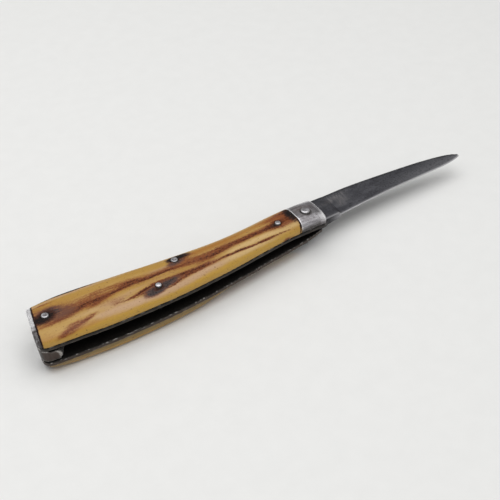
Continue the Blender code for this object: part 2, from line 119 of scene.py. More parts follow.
VEINS = (
    ((-46, -2.3, 0.4, 0.0), (-44, -2.1, 0.5, 0.3), (-40, -1.6, 0.7, 0.35), (-37, -0.6, 0.6, 0.75),
     (-34, 0.0, 0.5, 0.9), (-31, 0.25, 0.45, 0.95), (-28, 0.2, 0.4, 0.9), (-24.5, 0.3, 0.35, 0.85),
     (-21, 0.6, 0.4, 0.85), (-17, 0.6, 0.45, 0.85), (-12, 0.5, 0.45, 0.9), (-7, 0.45, 0.4, 0.8),
     (-2, 0.3, 0.4, 0.6), (3, -0.4, 0.4, 0.55), (8, -0.65, 0.5, 0.9), (11, -0.2, 0.5, 0.7),
     (16, 0.5, 0.5, 0.65), (21, 0.5, 0.5, 0.85), (25, 0.8, 0.45, 0.7), (29, 1.1, 0.8, 0.95),
     (32, 1.3, 1.3, 1.0), (35, 1.9, 1.0, 0.85), (38.5, 3.0, 1.0, 0.9)),
    ((-34, -0.9, 0.4, 0.0), (-31, -1.0, 0.5, 0.45), (-28.5, -0.8, 0.4, 0.4), (-26.5, -0.4, 0.3, 0.0)),
    ((-24.5, 0.6, 0.3, 0.0), (-22, 1.4, 0.45, 0.6), (-19.5, 1.9, 0.5, 0.75), (-17, 1.7, 0.5, 0.8),
     (-15, 1.1, 0.4, 0.5), (-13, 0.7, 0.3, 0.0)),
    ((2, 1.0, 0.4, 0.0), (8, 1.0, 0.5, 0.5), (14, 1.2, 0.5, 0.5), (20, 1.3, 0.4, 0.6),
     (26, 1.4, 0.4, 0.3)),
    ((-45.5, -8.7, 0.3, 0.0), (-43, -7.9, 0.5, 0.3), (-41, -7.3, 0.6, 0.4), (-38, -6.3, 0.5, 0.3),
     (-35, -5.4, 0.4, 0.45), (-32.5, -4.8, 0.25, 0.0)),
    ((-28, -3.6, 0.4, 0.0), (-26.5, -4.6, 0.6, 0.22), (-24.5, -4.3, 0.7, 0.25), (-23, -2.6, 0.5, 0.15)),
    ((-25, -4.9, 0.2, 0.0), (-22.5, -4.7, 0.3, 0.35), (-18, -3.9, 0.4, 0.9), (-15, -3.3, 0.5, 1.0),
     (-12, -2.9, 0.45, 1.0), (-9, -2.95, 0.55, 1.0), (-5.5, -3.2, 0.5, 1.0), (-2, -3.5, 0.5, 0.9),
     (2, -3.6, 0.5, 0.85), (6, -3.45, 0.35, 0.7), (9, -3.4, 0.2, 0.3)),
    ((-24, -4.8, 0.2, 0.0), (-20, -4.95, 0.3, 0.5), (-17, -5.1, 0.35, 0.6)),
    ((-10.5, -6.6, 0.3, 0.3), (-8, -5.9, 0.45, 0.7), (-5.5, -5.0, 0.45, 0.75), (-2, -4.5, 0.45, 0.8),
     (2, -4.2, 0.4, 0.6), (6, -3.8, 0.3, 0.0)),
    ((8, -3.4, 0.3, 0.6), (13, -3.2, 0.4, 0.85), (17, -3.2, 0.4, 0.85), (20, -3.3, 0.35, 0.75),
     (23, -3.3, 0.4, 0.8), (27.5, -3.2, 0.4, 0.75), (30, -3.1, 0.3, 0.6), (35, -3.0, 0.25, 0.3)),
    ((31, 5.5, 0.3, 0.0), (35, 5.4, 0.6, 0.6), (38.5, 5.2, 0.9, 0.9)),
    ((32, -6.9, 0.25, 0.0), (33.3, -6.7, 0.4, 0.6), (35, -6.6, 0.2, 0.0)),
)
# The pale runs are paler polish and also painted sheen along the shoulders; the last is a painted highlight
# along the back shoulder.
PALE_AND_SHEEN = (
    ((-37, -6.0, 0.6, 0.0), (-32, -6.4, 1.2, 0.7), (-26, -6.7, 1.5, 0.9), (-19, -7.1, 1.3, 1.0),
     (-12, -7.9, 0.9, 0.9), (-6, -7.1, 1.2, 1.0), (0, -6.2, 1.2, 1.0), (6, -5.4, 1.1, 0.95),
     (12, -4.9, 0.9, 0.8), (19, -4.5, 0.6, 0.6), (27, -4.2, 0.4, 0.0)),
    ((-43, -3.6, 0.5, 0.0), (-38, -3.5, 0.7, 0.35), (-32, -3.3, 0.9, 0.6), (-26, -3.6, 1.3, 0.75),
     (-20, -2.2, 0.9, 0.5), (-14, -1.6, 0.6, 0.25), (-6, -1.5, 0.5, 0.2), (0, -1.8, 0.5, 0.0)),
    ((-15, 2.4, 0.5, 0.0), (-11, 2.0, 0.7, 0.6), (-7, 1.8, 0.7, 0.6), (-4.5, 1.6, 0.6, 0.3)),
    ((-48, 6.8, 0.4, 0.7), (-40, 7.4, 0.4, 0.9), (-32, 7.2, 0.4, 0.8), (-24, 6.7, 0.35, 0.5),
     (-14, 6.0, 0.3, 0.0)),
)
STRAW_AND_SHEEN = (
    ((9, -2.2, 0.4, 0.0), (14, -2.0, 0.7, 0.8), (20, -1.7, 0.9, 0.9), (27, -1.4, 0.9, 0.9),
     (33, -2.0, 1.0, 0.8), (38, -1.6, 1.0, 0.8)),
    ((-44, -3.8, 0.5, 0.0), (-39, -3.9, 0.7, 0.15), (-33, -3.4, 0.9, 0.5), (-27, -2.2, 0.8, 0.3),
     (-20, -1.8, 0.6, 0.0)),
    # This run also carries painted sheen along the lower shoulder.
    ((7, -5.4, 0.6, 0.0), (13, -4.9, 0.9, 0.9), (20, -4.5, 0.9, 0.9), (27, -4.4, 0.7, 0.6),
     (32, -4.3, 0.5, 0.0)),
)
SOOT = (
    (0.55, (-43.6, 2.5), (2.8, 1.5), 8),
    (0.34, (-41.5, 0.6), (6.0, 2.8), -6),
    (0.12, (-47.6, 5.2), (4.0, 2.6), 0),
    (0.66, (-14.2, -5.6), (3.2, 1.7), 10),
    (0.60, (-11.2, -4.7), (3.8, 1.5), 14),
    (0.45, (-7.6, -4.2), (2.8, 1.1), 14),
    (0.60, (-3.0, 2.4), (2.8, 1.1), 8),
)
CHAR = (
    (0.95, (-47.0, 0.9), (2.8, 1.7), 4),
    (0.80, (-44.4, 1.6), (2.2, 1.9), 20),
    # This patch darkens a thin line along the scale's back edge.
    (1.00, (-37.0, 8.75), (9.0, 0.75), -4),
    (0.85, (-12.7, -4.9), (1.6, 1.0), 10),
    (0.95, (-0.9, 4.4), (3.0, 1.6), -5),
    (0.75, (-3.9, 4.2), (1.5, 1.1), 20),
    (0.70, (31.9, 1.2), (2.0, 1.2), 10),
    (1.00, (38.5, 3.5), (1.7, 3.9), 0),
    (0.90, (39.1, -2.0), (0.35, 4.5), -8),
)

# The rear scale carries the same runs turned over and shifted along, but the patches stay in place
REAR_SHIFT = 9.0
REAR_TURN = -2.6

# Scales: the dark ring round each pin's head, the dark seam at the butt cap and its band, how far the marks
# wander in coarse and fine waves, and the swell, the veins' depth and the furrows of the surface
SCALE_PINS = (BUTT_PIN, MID_RIVET, SPRING_PIN, FORE_RIVET)
RING_REACH = 1.15
RING_WIDTH = 0.3
END_SEAM = 0.7
END_SEAM_BAND = (0.7, 0.3)
COARSE_WANDER = 0.2
FINE_WANDER = 0.12
SWELL = 0.03
VEIN_DEPTH = 0.08
FURROW_DEPTH = 0.04

# Bolsters: stains and pits as patches, bands of X for the painted highlight on the front, bands of fall down
# the walls for grime and painted shade, and the ring of grime and painted shadow round the pivot's head, set
# below its centre, outside which edges are bright again
BOLSTER_STAINS = (
    (0.75, (42.0, 3.6), (3.0, 2.4), 0),
    (0.55, (45.0, 4.4), (2.4, 1.4), 0),
)
BOLSTER_PITS = (
    (0.90, (45.5, 0.9), (0.9, 0.3), -55),
    (0.80, (45.9, -0.2), (0.4, 0.3), -40),
    (0.70, (44.5, -0.7), (0.6, 0.25), -40),
    (0.50, (40.6, 0.4), (0.7, 0.2), -60),
)
FRONT_RIM_HIGHLIGHT = (46.0, 47.0)
FRONT_LINE_HIGHLIGHT = (47.3, 48.2)
BRIGHT_WALL_END = (2.2, 3.6)
GRIMY_SHADED_WALL_START = (1.5, 3.2)
SHADED_SEAM_CENTRE = (PIVOT[0] + 0.1, PIVOT[1] - 0.25)
SHADED_SEAM_REACH = 1.6
SHADED_SEAM_WIDTH = 0.5
BRIGHT_OUTSIDE = (2.0, 2.8)

# Butt caps: bands of Y in which the metal turns brighter and in which it turns darker
CAP_BRIGHTER = (-1.8, -0.4)
CAP_DARKER = (-0.4, -2.0)

# Liners: the waves and band of the bright specks, the shine of the edges, how brown they are, the band of the
# grimy seam, and how far the edge along the slot stands out. Bands of depth are shares of the thickness.
LINER_BROWN = (0.1, 0.4)
LINER_LOOKS = {
    "front_liner": {"waves": (1.6, 1.0, 1.0), "specks": (0.15, 0.5), "shine": 0.35, "brown": 0.0,
                    "seam": (0.35, 0.6), "proud": 0.0},
    "rear_liner": {"waves": (0.7, 0.5, 0.5), "specks": (0.1, 0.5), "shine": 0.7, "brown": 0.9,
                   "seam": (0.75, 0.9), "proud": 0.6},
}

# Back spring: bands of X and Y that bound the foot, the foot's reach from the butt, the fall and skew of its
# round end, and the hollow under the folded blade's edge, which fades in and out along X
FOOT_X = (-36.0, -38.0)
FOOT_Y = (-1.0, -3.0)
FOOT_REACH = 6.0
FOOT_ROUND = 4.0
FOOT_SKEW = 0.3
SLOT_FACING = (0.3, 0.7)
FOLD_ROOM = 0.2
FOLD_FADE_IN = (8, 13)
FOLD_FADE_OUT = (28, 23)

# Pins: stains as patches, the depth and reach of the hollows in dished heads and in the pivot's, and how far
# all heads but the pivot's are flattened
PIN_STAINS = (
    (0.95, (BUTT_PIN[0] + 0.2, BUTT_PIN[1] + 0.2), (1.0, 0.9), 0),
    (0.95, (SPRING_PIN[0] + 0.2, SPRING_PIN[1] + 0.3), (1.3, 1.1), 0),
    (0.70, (FORE_RIVET[0] + 0.2, FORE_RIVET[1] + 0.2), (0.9, 0.8), 0),
    (0.90, (PIVOT[0] + 0.5, PIVOT[1] + 0.8), (1.7, 0.9), 20),
)
DISHED_PINS = (BUTT_PIN, SPRING_PIN)
DISH_DEPTH = 0.4
DISH_REACH = 0.6
PIVOT_DEPTH = 0.3
PIVOT_REACH = 0.9
HEAD_DEPTH = 0.2

# Blade: scuffs as patches, the run of painted highlight along the ricasso's lower edge that carries its
# bright edge on to the bolster, the ground edge's width, the band of X toward the paler tip, and the longest
# mesh edges near bright lines and elsewhere
BLADE_SCUFFS = (
    (0.90, (59.0, 8.8), (4.5, 1.0), 14),
    (0.80, (61.0, 6.6), (2.2, 1.4), 30),
)
HEEL_HIGHLIGHT = ((46.8, 0.95, 0.3, 0.35), (57.5, 1.5, 0.3, 0.7))
HIGHEST_EDGE = PIVOT[1] + 4.0
GROUND_WIDTH = 0.4
PALER_TIP = (66, 100)
FINE_STEP = 0.3
FINE_REACH = 0.7
COARSE_STEP = 1.2
MOST_SPLITS = 9
SHARP_ANGLE = 40

# How runs and patches fade toward their rims
RUN_FADE = 0.6
PATCH_FADE = 0.8
PATCH_POWER = 1.2


def linear(red, green, blue):
    """The linear colour of a screen colour given from 0 to 255."""
    shares = [channel / 255 for channel in (red, green, blue)]
    channels = [share / 12.92 if share < 0.04045 else ((share + 0.055) / 1.055) ** 2.4 for share in shares]
    return channels + [1.0]


# Colours of the stag, from its ground to its marks
HONEY = linear(182, 146, 84)
OCHRE = linear(172, 133, 62)
WASHES = {
    "amber": linear(158, 104, 42),
    "gold": linear(188, 148, 62),
    # The pale and straw washes also carry painted sheen.
    "pale": linear(184, 149, 114),
    "straw": linear(198, 166, 112),
}
FLECK = linear(132, 88, 42)
SPECK = linear(104, 66, 34)
RUSSET = linear(128, 70, 32)
RUSSET_PORE = linear(84, 42, 26)
VEIN_RIM = linear(114, 59, 28)
VEIN_PORE = linear(54, 24, 15)
VEIN_CORE = linear(56, 26, 17)
SMOKE_RIM = linear(104, 66, 50)
SMOKE_CORE = linear(68, 58, 57)
SMOKE_PORE = linear(28, 22, 22)
BURNT_RIM = linear(66, 38, 28)
BURNT_CORE = linear(26, 20, 19)
# Painted shade for the rear scale's slot-side shoulder
STAG_PAINTED_SHADE = linear(128, 110, 74)

# Colours of the blade and the floor
PATINA_DARK = linear(70, 70, 75)
PATINA_LIGHT = linear(88, 88, 93)
PATINA_SPOT = linear(44, 43, 45)
TIP_STEEL = linear(118, 118, 122)
SCUFFED_STEEL = linear(152, 148, 148)
# Bright steel of the ground edge, also the painted highlight along the ricasso's lower edge
EDGE_AND_HIGHLIGHT_STEEL = linear(196, 195, 198)
# Painted shade on the kick
KICK_PAINTED_SHADE = linear(44, 42, 43)
FLOOR_DARK = linear(226, 226, 225)
FLOOR_LIGHT = linear(232, 232, 231)


class Paint:
    """A material made by short calls, in which a value is a number, a colour or another node's output."""

    def __init__(self, name):
        self.material = bpy.data.materials.new(name)
        self.material.use_nodes = True
        self.tree = self.material.node_tree
        self.surface = self.tree.nodes["Principled BSDF"]

    def node(self, kind, values, **settings):
        made = self.tree.nodes.new(kind)
        for setting, choice in settings.items():
            setattr(made, setting, choice)
        for socket, value in values.items():
            self.put(made.inputs[socket], value)
        return made

    def put(self, socket, value):
        if isinstance(value, bpy.types.NodeSocket):
            self.tree.links.new(value, socket)
        else:
            socket.default_value = value

    def finish(self, **values):
        for name, value in values.items():
            self.put(self.surface.inputs[name.replace("_", " ")], value)

    def place(self, sizes):
        """Object coordinates counted in the given sizes along X, Y and Z."""
        coordinates = self.node("ShaderNodeTexCoord", {}).outputs["Object"]
        counts = [1 / (size * MM) for size in sizes]
        return self.node("ShaderNodeVectorMath", {0: coordinates, 1: counts}, operation="MULTIPLY").outputs[0]

    def noise(self, sizes, detail=4.0, roughness=0.55, warp=0.0):
        values = {"Vector": self.place(sizes), "Scale": 1.0, "Detail": detail, "Roughness": roughness,
                  "Distortion": warp}
        return self.node("ShaderNodeTexNoise", values).outputs["Fac"]

    def pores(self, sizes):
        """Scattered dots, 1 in the middle of each."""
        cells = self.node("ShaderNodeTexVoronoi", {"Vector": self.place(sizes), "Scale": 1.0})
        return self.rise(cells.outputs["Distance"], 0.25, 0.5, 1.0, 0.0)

    def mask(self, name):
        return self.node("ShaderNodeAttribute", {}, attribute_name=name).outputs["Fac"]

    def sum(self, first, second):
        return self.node("ShaderNodeMath", {0: first, 1: second}, operation="ADD").outputs[0]

    def times(self, first, second):
        return self.node("ShaderNodeMath", {0: first, 1: second}, operation="MULTIPLY").outputs[0]

    def rise(self, value, low, high, start=0.0, end=1.0):
        """Goes smoothly from start to end while the value goes from low to high."""
        values = {"Value": value, "From Min": low, "From Max": high, "To Min": start, "To Max": end}
        return self.node("ShaderNodeMapRange", values, interpolation_type="SMOOTHSTEP").outputs["Result"]

    def mix(self, first, second, share):
        values = {0: share, 6: first, 7: second}
        return self.node("ShaderNodeMix", values, data_type="RGBA").outputs[2]

    def bump(self, height, depth, below=None):
        values = {"Height": height, "Distance": depth * MM, "Strength": 1.0}
        if below is not None:
            values["Normal"] = below
        return self.node("ShaderNodeBump", values).outputs["Normal"]


def copy_of(node):
    """A new piece with the node's shape, its corners joined."""
    mesh = bpy.data.meshes.new(node + "_look")
    shape = bmesh.new()
    shape.from_mesh(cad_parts[node].data)
    bmesh.ops.remove_doubles(shape, verts=shape.verts, dist=WELD_DISTANCE * MM)
    shape.to_mesh(mesh)
    shape.free()
    piece = bpy.data.objects.new(node + "_look", mesh)
    bpy.context.scene.collection.objects.link(piece)
    return piece


def apply_modifiers(piece):
    graph = bpy.context.evaluated_depsgraph_get()
    mesh = bpy.data.meshes.new_from_object(piece.evaluated_get(graph))
    piece.modifiers.clear()
    piece.data = mesh


def worn_copy(node, grain, passes):
    """A finer copy of the node with its edges rounded by wear."""
    piece = copy_of(node)
    remesh = piece.modifiers.new("remesh", "REMESH")
    remesh.mode = "VOXEL"
    remesh.voxel_size = grain * MM
    smooth = piece.modifiers.new("smooth", "SMOOTH")
    smooth.iterations = passes
    apply_modifiers(piece)
    piece.data.shade_smooth()
    return piece


def thin_out(piece, share):
    """Keeps the given share of the faces, fewest where the piece is flat."""
    decimate = piece.modifiers.new("decimate", "DECIMATE")
    decimate.ratio = share
    apply_modifiers(piece)
    piece.data.shade_smooth()


def split_long_edges(piece, longest_at):
    """Splits edges, in a few rounds, until none is longer than its place allows."""
    shape = bmesh.new()
    shape.from_mesh(piece.data)
    for _ in range(MOST_SPLITS):
        long_edges = []
        for edge in shape.edges:
            middle = (edge.verts[0].co + edge.verts[1].co) / 2
            if edge.calc_length() > longest_at(middle / MM) * MM:
                long_edges.append(edge)
        if not long_edges:
            break
        bmesh.ops.subdivide_edges(shape, edges=long_edges, cuts=1)
        bmesh.ops.triangulate(shape, faces=shape.faces)
    shape.to_mesh(piece.data)
    shape.free()


def places_of(piece):
    places = np.empty(len(piece.data.vertices) * 3)
    piece.data.vertices.foreach_get("co", places)
    return places.reshape(-1, 3) / MM


def normals_of(piece):
    normals = np.empty(len(piece.data.vertices) * 3)
    piece.data.vertices.foreach_get("normal", normals)
    return normals.reshape(-1, 3)


def edge_wear(piece, height):
    """How far each point stands out from its neighbours, from 0 to 1 at the given height."""
    places = places_of(piece)
    pairs = np.empty(len(piece.data.edges) * 2, dtype=int)
    piece.data.edges.foreach_get("vertices", pairs)
    firsts, seconds = pairs.reshape(-1, 2).T
    sums, counts = np.zeros_like(places), np.zeros(len(places))
    for points, neighbours in ((firsts, seconds), (seconds, firsts)):
        np.add.at(sums, points, places[neighbours])
        np.add.at(counts, points, 1)
    offsets = places - sums / counts[:, None]
    return np.clip((offsets * normals_of(piece)).sum(axis=1) / height, 0.0, 1.0)


def move_to(piece, places):
    piece.data.vertices.foreach_set("co", (places * MM).ravel())
    piece.data.update()


def push_out(piece, heights):
    """Moves each point of the piece along its normal by its height."""
    move_to(piece, places_of(piece) + normals_of(piece) * heights[:, None])


def waves(places, sizes, seed=0.0):
    """Smooth noise from -1 to 1 at each place, in waves of the given sizes along X, Y and Z."""
    shift = Vector((seed, seed, seed))
    return np.array([noise.noise(Vector(place) + shift) for place in places / np.array(sizes)])


def roughen(piece, fine, coarse):
    """Pushes the piece's surface in and out by fine and coarse waves."""
    places = places_of(piece)
    push_out(piece, fine * waves(places, (1.2, 1.2, 1.2)) + coarse * waves(places, (4, 4, 4), seed=5))


def ramp(values, start, end):
    """Goes smoothly from 0 to 1 while the values go from start to end, up or down."""
    share = np.clip((values - start) / (end - start), 0.0, 1.0)
    return share * share * (3 - 2 * share)


def ring(distances, middle, width):
    """1 where the distance is at the middle, fading on both sides of it over the width."""
    return np.exp(-(((distances - middle) / width) ** 2))


def fall_of(places):
    """How far each place lies below the crown of its own side."""
    return MIDDLE - np.abs(places[:, 2] - MIDDLE)


def reach_of(places, centre):
    """Distance of each place from the centre, seen from above."""
    return np.linalg.norm(places[:, :2] - centre, axis=1)


def from_butt(places):
    """Distance of each place from the slanting butt."""
    slant = math.tan(math.radians(BUTT_SLANT))
    lean = math.tan(math.radians(BUTT_LEAN))
    return places[:, 0] - BUTT - slant * (places[:, 1] - PIVOT[1]) + lean * (places[:, 2] - MIDDLE)


def half_slot(x):
    """Half the slot's width at each x."""
    narrowing = HALF_SLOT_AT_BUTT - HALF_SLOT_AT_FRONT
    return HALF_SLOT_AT_BUTT - narrowing * (x - BUTT) / HANDLE_LENGTH


def store(piece, name, values):
    attribute = piece.data.attributes.new(name, "FLOAT", "POINT")
    attribute.data.foreach_set("value", np.clip(values, 0.0, 1.0))


def run_mask(flat, runs):
    """How strongly each flat place is covered by the runs."""
    clear = np.ones(len(flat))
    for points in runs:
        cover = np.zeros(len(flat))
        for start, end in zip(points, points[1:]):
            start, step = np.array(start), np.array(end) - np.array(start)
            share = np.clip((flat - start[:2]) @ step[:2] / (step[:2] @ step[:2]), 0.0, 1.0)
            x, height, width, strength = (start + share[:, None] * step).T
            distance = np.hypot(flat[:, 0] - x, flat[:, 1] - height)
            cover = np.maximum(cover, strength * np.exp(-RUN_FADE * (distance / width) ** 2))
        clear *= 1 - cover
    return 1 - clear


def patch_mask(flat, patches):
    """How strongly each flat place is covered by the oval patches."""
    clear = np.ones(len(flat))
    for strength, centre, halves, tilt in patches:
        turn = math.radians(tilt)
        offset = flat - centre
        along = (offset @ (math.cos(turn), math.sin(turn))) / halves[0]
        across = (offset @ (-math.sin(turn), math.cos(turn))) / halves[1]
        clear *= 1 - strength * np.exp(-((along**2 + across**2) ** PATCH_POWER) * PATCH_FADE)
    return 1 - clear


def dress(piece, node, material):
    """Puts the piece in the node's place, on its body and with its finish."""
    piece.data.materials.clear()
    piece.data.materials.append(material)
    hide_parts(node)
    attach(piece, "blade" if node == "blade" else "handle")


def broken(paint, mask, ragged, full, amount):
    """The mask with its rim broken by ragged noise, which grows to the amount where the mask reaches full."""
    return paint.sum(mask, paint.times(ragged, paint.rise(mask, 0.0, full, 0.0, amount)))


def stag_ground(paint, ragged, stipple):
    """Gold to pale tan, with the washes of the runs, the pale and straw ones also carrying painted sheen, and
    fine flecks.
    """
    drift = paint.noise((20, 3, 3), detail=3)
    tone = paint.mix(HONEY, OCHRE, paint.rise(drift, 0.35, 0.65))
    for name, colour in WASHES.items():
        wash = paint.sum(paint.mask(name), paint.times(ragged, 0.15))
        tone = paint.mix(tone, colour, paint.rise(wash, 0.0, 1.0))
    return paint.mix(tone, FLECK, paint.rise(stipple, 0.5, 0.75, 0.0, 0.4))


def stag_paint():
    """Polished antler with brown bands, pale bands that also carry painted sheen, dark ragged veins, soot and
    burns round the pins, a dark line along the back edge, and painted shade on the rear scale's slot-side
    shoulder.
    """
    paint = Paint("polished_stag")
    fibres = paint.noise((5, 0.6, 0.6), detail=5, roughness=0.65, warp=0.4)
    stipple = paint.noise((0.7, 0.4, 0.4), detail=3, roughness=0.7)
    ragged = paint.sum(paint.rise(fibres, 0.3, 0.7, -0.6, 0.6), paint.rise(stipple, 0.3, 0.7, -0.6, 0.6))
    pores = paint.pores((0.6, 0.4, 0.4))
    tone = stag_ground(paint, ragged, stipple)

    brown = paint.mask("brown")
    washed = paint.sum(brown, paint.times(ragged, paint.times(brown, 0.45)))
    tone = paint.mix(tone, RUSSET, paint.rise(washed, 0.0, 0.85))
    tone = paint.mix(tone, RUSSET_PORE, paint.times(pores, paint.rise(washed, 0.35, 0.9, 0.0, 0.6)))

    vein = broken(paint, paint.mask("vein"), ragged, 0.5, 0.4)
    tone = paint.mix(tone, VEIN_RIM, paint.rise(vein, 0.05, 0.55))
    tone = paint.mix(tone, VEIN_PORE, paint.times(pores, paint.rise(vein, 0.15, 0.65)))
    tone = paint.mix(tone, VEIN_CORE, paint.rise(vein, 0.65, 1.1, 0.0, 0.9))

    smoke = broken(paint, paint.mask("soot"), ragged, 0.6, 0.25)
    tone = paint.mix(tone, SMOKE_RIM, paint.rise(smoke, 0.05, 0.35))
    tone = paint.mix(tone, SMOKE_CORE, paint.rise(smoke, 0.32, 0.62))
    tone = paint.mix(tone, SMOKE_PORE, paint.times(pores, paint.rise(smoke, 0.3, 0.65, 0.0, 0.8)))

    burnt = broken(paint, paint.mask("char"), ragged, 0.6, 0.25)
    tone = paint.mix(tone, BURNT_RIM, paint.rise(burnt, 0.1, 0.55))
    tone = paint.mix(tone, BURNT_CORE, paint.rise(burnt, 0.4, 0.9))

    # Painted shade on the rear scale's slot-side shoulder.
    grimed_and_shaded = paint.times(paint.mask("grime_and_shade"), paint.rise(fibres, 0.3, 0.6, 0.6, 0.9))
    tone = paint.mix(tone, STAG_PAINTED_SHADE, grimed_and_shaded)
    specks = paint.rise(paint.noise((0.8, 0.5, 0.5), detail=1), 0.69, 0.75, 0.0, 0.7)
    tone = paint.mix(tone, SPECK, specks)

    normal = paint.bump(fibres, 0.04)
    normal = paint.bump(stipple, 0.02, normal)
    dark = paint.sum(paint.times(vein, 0.7), paint.sum(smoke, burnt))
    paint.finish(Base_Color=tone, Roughness=paint.rise(dark, 0.0, 0.9, 0.36, 0.55), Normal=normal,
                 Specular_IOR_Level=paint.rise(dark, 0.1, 0.8, 0.28, 0.1))
    return paint.material


def iron_paint(name, dull, bright, rim, rust, grime_and_shade, gloss):
    """Worn iron: clouded metal with pits, bright along its edges where wear and painted highlights lie, rusty
    where stained, and darkened where it is soiled and where painted shade lies.
    """
    paint = Paint(name)
    clouds = paint.noise((3, 2, 2), detail=6, roughness=0.62)
    mottle = paint.noise((0.5, 0.4, 0.4), detail=3, roughness=0.6)
    scuffs = paint.noise((0.2, 1.8, 0.6), detail=2)
    tone = paint.mix(dull, bright, paint.rise(clouds, 0.36, 0.64))
    tone = paint.mix(tone, rust, paint.rise(mottle, 0.56, 0.72, 0.0, 0.6))
    rusty = paint.times(paint.mask("stain"), paint.rise(mottle, 0.2, 0.6, 0.6, 1.0))
    tone = paint.mix(tone, rust, rusty)
    # Grime and painted shade where that mask lies.
    grimed_and_shaded = paint.times(paint.mask("grime_and_shade"), paint.rise(mottle, 0.3, 0.7, 1.0, 0.75))
    tone = paint.mix(tone, grime_and_shade, grimed_and_shaded)
    # The edge mask brings bright metal to worn edges, and painted highlights to the bolsters' fronts.
    bare = paint.times(paint.mask("edge"), paint.rise(mottle, 0.3, 0.5, 0.3, 1.0))
    tone = paint.mix(tone, rim, bare)
    normal = paint.bump(scuffs, 0.004)
    normal = paint.bump(mottle, 0.01, normal)
    dirt_and_shade = paint.sum(rusty, grimed_and_shaded)
    metal = paint.rise(paint.sum(dirt_and_shade, bare), 0.0, 1.0, 1.0, 0.6)
    roughness = paint.rise(dirt_and_shade, 0.0, 1.0, gloss, 0.5)
    paint.finish(Base_Color=tone, Metallic=metal, Roughness=roughness, Normal=normal)
    return paint.material


def blade_paint():
    """Dark patina, mottled finely, with a bright ground edge, a painted highlight along the ricasso's lower
    edge, a paler tip, scuffs, and painted shade on the kick.
    """
    paint = Paint("patinated_blade")
    clouds = paint.noise((6, 2.6, 2.6), detail=5, roughness=0.6)
    mottle = paint.noise((0.6, 0.5, 0.5), detail=4, roughness=0.62)
    scratches = paint.noise((0.16, 2.2, 2.2), detail=2)
    tone = paint.mix(PATINA_DARK, PATINA_LIGHT, paint.rise(clouds, 0.35, 0.68))
    tone = paint.mix(tone, TIP_STEEL, paint.mask("paler"))
    tone = paint.mix(tone, PATINA_SPOT, paint.rise(mottle, 0.48, 0.72, 0.0, 0.75))
    scuffed = paint.times(paint.mask("scuffed"), paint.rise(scratches, 0.42, 0.66))
    tone = paint.mix(tone, SCUFFED_STEEL, scuffed)
    # Bright ground edge, and the painted highlight along the ricasso's lower edge.
    tone = paint.mix(tone, EDGE_AND_HIGHLIGHT_STEEL, paint.mask("ground"))
    # Painted shade on the kick, under the dull mask.
    tone = paint.mix(tone, KICK_PAINTED_SHADE, paint.mask("dull"))
    normal = paint.bump(scratches, 0.005)
    normal = paint.bump(mottle, 0.012, normal)
    roughness = paint.rise(mottle, 0.3, 0.7, 0.42, 0.54)
    paint.finish(Base_Color=tone, Metallic=0.9, Roughness=roughness, Normal=normal)
    return paint.material


def floor_paint():
    paint = Paint("pale_floor")
    tooth = paint.noise((6, 6, 6), detail=5)
    tone = paint.mix(FLOOR_DARK, FLOOR_LIGHT, tooth)
    paint.finish(Base_Color=tone, Roughness=0.8, Normal=paint.bump(tooth, 0.02))
    return paint.material


def dress_scale(node, paint):
    """A scale with its marks, dark round the pins and at the butt cap, with painted shade on the rear scale's
    slot-side shoulder, and faintly furrowed.
    """
    side = 1 if node.startswith("front") else -1
    piece = worn_copy(node, grain=0.22, passes=3)
    places = places_of(piece)
    fall = fall_of(places)
    slot_side = places[:, 1] < places[:, 1].mean()
    height = places[:, 1] + np.where(slot_side, -fall, fall)
    coarse = COARSE_WANDER * waves(places, (5, 1.2, 1.2), seed=2)
    fine = FINE_WANDER * waves(places, (1.3, 0.6, 0.6), seed=4)
    flat = np.column_stack((places[:, 0], height + (coarse + fine)))
    along = from_butt(places)
    end_seam = END_SEAM * ramp(along - along.min(), *END_SEAM_BAND)
    store(piece, "soot", patch_mask(flat, SOOT))
    store(piece, "char", np.maximum(patch_mask(flat, CHAR), end_seam))
    if side < 0:
        flat = np.column_stack((flat[:, 0] + REAR_SHIFT, REAR_TURN - flat[:, 1]))
    vein = run_mask(flat, VEINS)
    for pin in SCALE_PINS:
        vein = np.maximum(vein, ring(reach_of(places, pin), RING_REACH, RING_WIDTH))
    store(piece, "vein", vein)
    for name, runs in (("amber", AMBER), ("gold", GOLD), ("brown", BROWN), ("pale", PALE_AND_SHEEN), ("straw", STRAW_AND_SHEEN)):
        store(piece, name, run_mask(flat, runs))
    # Painted shade: the rear scale's slot-side shoulder, which faces the floor, is darkened.
    store(piece, "grime_and_shade", ramp(fall, 0.5, 2.5) * slot_side * (side < 0))
    furrows = waves(places, (14, 1.1, 1.1), seed=side)
    push_out(piece, SWELL - VEIN_DEPTH * vein + FURROW_DEPTH * furrows)
    dress(piece, node, paint)


